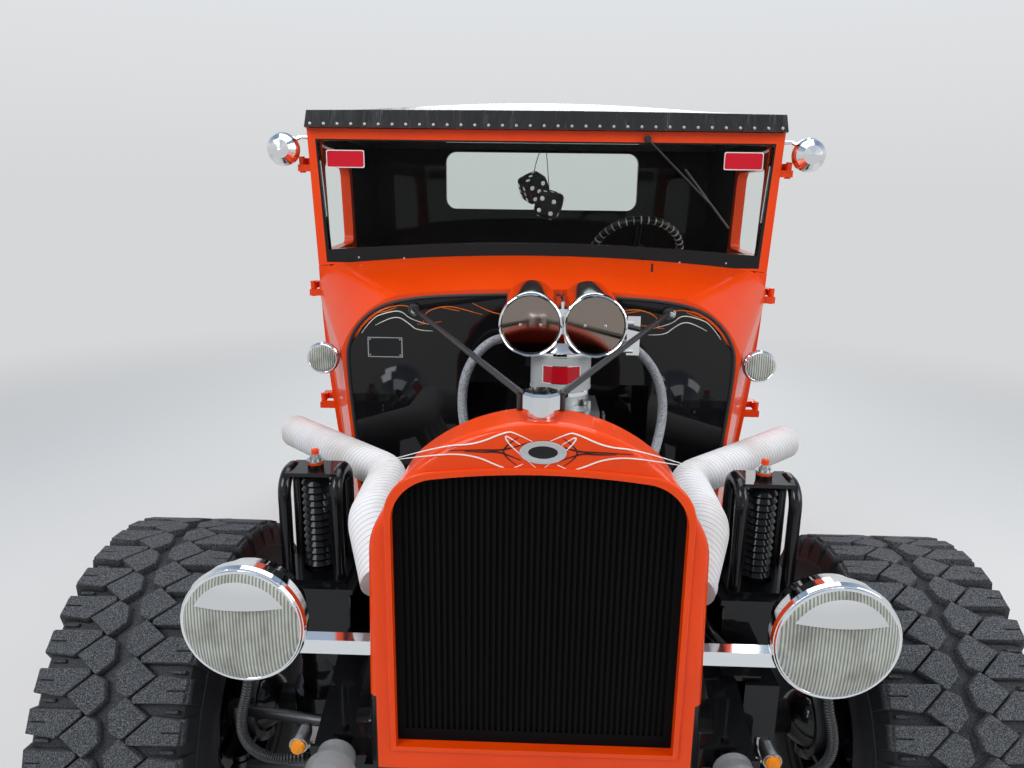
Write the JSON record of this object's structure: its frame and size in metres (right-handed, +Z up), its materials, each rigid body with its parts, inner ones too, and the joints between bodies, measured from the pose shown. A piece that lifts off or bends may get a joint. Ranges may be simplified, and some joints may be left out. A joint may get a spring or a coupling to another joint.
{
  "type": "hot rod pickup truck",
  "caption": "Closed-cab hot rod pickup on a lifted ladder frame, with an open V8 engine, wide lugged tyres, steered front wheels, opening doors and a drop tailgate.",
  "frame": {"origin": "on the ground, midway between the two axles, at the centre of the track", "axes": "+Z up, -Y the way the car faces, +X the car's left side"},
  "size_m": [1.902, 3.55, 1.8458],
  "materials": {
    "chrome": "polished chrome",
    "body_paint": "gloss orange enamel",
    "clear_glass": "clear glass",
    "aluminium": "cast aluminium",
    "frame_paint": "gloss black enamel",
    "engine_paint": "black engine enamel",
    "bare_steel": "plain steel",
    "firewall_black": "gloss black panel",
    "shock_orange": "orange enamel",
    "heat_wrap": "pale woven exhaust wrap",
    "lens_glass": "clear fluted glass",
    "horn_grey": "grey enamel",
    "braided_hose": "grey textile braid over rubber",
    "amber": "amber lens in a chrome ring",
    "black_rubber": "black rubber",
    "core_black": "satin black core",
    "rim_paint": "black enamelled steel",
    "roof_vinyl": "black grained vinyl",
    "seat_vinyl": "dark grey vinyl",
    "black_plastic": "black plastic",
    "red_lens": "red lens",
    "tyre": "moulded black rubber, matt"
  },
  "bodies": {
    "root": {"air_scoop": "chrome", "bed": "body_paint", "cab": "body_paint", "cab_glass": "clear_glass", "carburettor": "aluminium", "cowl": "body_paint", "cowl_lamps": "chrome", "crossmembers": "frame_paint", "cylinder_heads": "engine_paint", "driveshafts": "bare_steel", "engine_block": "engine_paint", "firewall": "firewall_black", "frame": "frame_paint", "front_axle": "frame_paint", "front_shocks": "shock_orange", "front_springs": "frame_paint", "fuel_tank": "frame_paint", "headers": "heat_wrap", "headlamp_lenses": "lens_glass", "headlamps": "chrome", "horns": "horn_grey", "hose_left": "braided_hose", "hose_right": "braided_hose", "indicators": "amber", "intake_manifold": "aluminium", "lamp_bar": "chrome", "lamp_conduits": "black_rubber", "mirrors": "chrome", "radiator_cap": "chrome", "radiator_core": "core_black", "radiator_shell": "body_paint", "radius_arms": "frame_paint", "rear_axle": "frame_paint", "rear_bumper": "frame_paint", "rear_springs": "frame_paint", "roof": "roof_vinyl", "seat": "seat_vinyl", "shock_towers": "frame_paint", "stay_rods": "bare_steel", "steering_column": "frame_paint", "steering_wheel": "black_plastic", "tail_lamps": "red_lens", "windscreen_frame": "body_paint", "wiper": "black_plastic"},
    "knuckle_left": {"knuckle_left": "bare_steel"},
    "knuckle_right": {"knuckle_right": "bare_steel"},
    "track_rod": {"track_rod": "bare_steel"},
    "drag_link": {"drag_link": "bare_steel"},
    "drop_arm": {"drop_arm": "bare_steel"},
    "door_left": {"door_left": "body_paint"},
    "door_right": {"door_right": "body_paint"},
    "tailgate": {"tailgate": "body_paint"},
    "wheel_front_left": {"rim_front_left": "rim_paint", "tyre_front_left": "tyre"},
    "wheel_front_right": {"rim_front_right": "rim_paint", "tyre_front_right": "tyre"},
    "wheel_rear_left": {"rim_rear_left": "rim_paint", "tyre_rear_left": "tyre"},
    "wheel_rear_right": {"rim_rear_right": "rim_paint", "tyre_rear_right": "tyre"}
  },
  "joints": [
    {"name": "steer_left", "type": "hinge", "parent": "root", "child": "knuckle_left", "pos_m": [0.64, -1.27, 0.415], "axis": [0, 0, 1], "range_deg": [-28, 28]},
    {"name": "steer_right", "type": "hinge", "parent": "root", "child": "knuckle_right", "pos_m": [-0.64, -1.27, 0.415], "axis": [0, 0, 1], "range_deg": [-28, 28]},
    {"name": "track_rod_swing", "type": "hinge", "parent": "knuckle_left", "child": "track_rod", "pos_m": [0.64, -1.4, 0.345], "axis": [0, 0, 1], "range_deg": [-28, 28]},
    {"name": "drop_arm_turn", "type": "hinge", "parent": "root", "child": "drop_arm", "pos_m": [0.45, -1.44, 0.461], "axis": [0, 0, 1], "range_deg": [-28, 28]},
    {"name": "drag_link_swing", "type": "hinge", "parent": "drop_arm", "child": "drag_link", "pos_m": [0.45, -1.57, 0.485], "axis": [0, 0, 1], "range_deg": [-28, 28]},
    {"name": "roll_front_left", "type": "hinge", "parent": "knuckle_left", "child": "wheel_front_left", "pos_m": [0.792, -1.27, 0.415], "axis": [1, 0, 0], "continuous": true},
    {"name": "roll_front_right", "type": "hinge", "parent": "knuckle_right", "child": "wheel_front_right", "pos_m": [-0.792, -1.27, 0.415], "axis": [1, 0, 0], "continuous": true},
    {"name": "roll_rear_left", "type": "hinge", "parent": "root", "child": "wheel_rear_left", "pos_m": [0.792, 1.27, 0.415], "axis": [1, 0, 0], "continuous": true},
    {"name": "roll_rear_right", "type": "hinge", "parent": "root", "child": "wheel_rear_right", "pos_m": [-0.792, 1.27, 0.415], "axis": [1, 0, 0], "continuous": true},
    {"name": "door_left_swing", "type": "hinge", "parent": "root", "child": "door_left", "pos_m": [0.622, -0.682, 0.983], "axis": [-0.044, 0, -0.999], "range_deg": [0, 65]},
    {"name": "door_right_swing", "type": "hinge", "parent": "root", "child": "door_right", "pos_m": [-0.622, -0.682, 0.983], "axis": [-0.044, 0, 0.999], "range_deg": [0, 65]},
    {"name": "tailgate_drop", "type": "hinge", "parent": "root", "child": "tailgate", "pos_m": [0, 1.68, 0.786], "axis": [-1, 0, 0], "range_deg": [0, 90]}
  ],
  "couplings": [
    {"joint": "steer_right", "follows": "steer_left", "ratio": 1},
    {"joint": "track_rod_swing", "follows": "steer_left", "ratio": -1},
    {"joint": "drop_arm_turn", "follows": "steer_left", "ratio": 1},
    {"joint": "drag_link_swing", "follows": "steer_left", "ratio": -1}
  ]
}
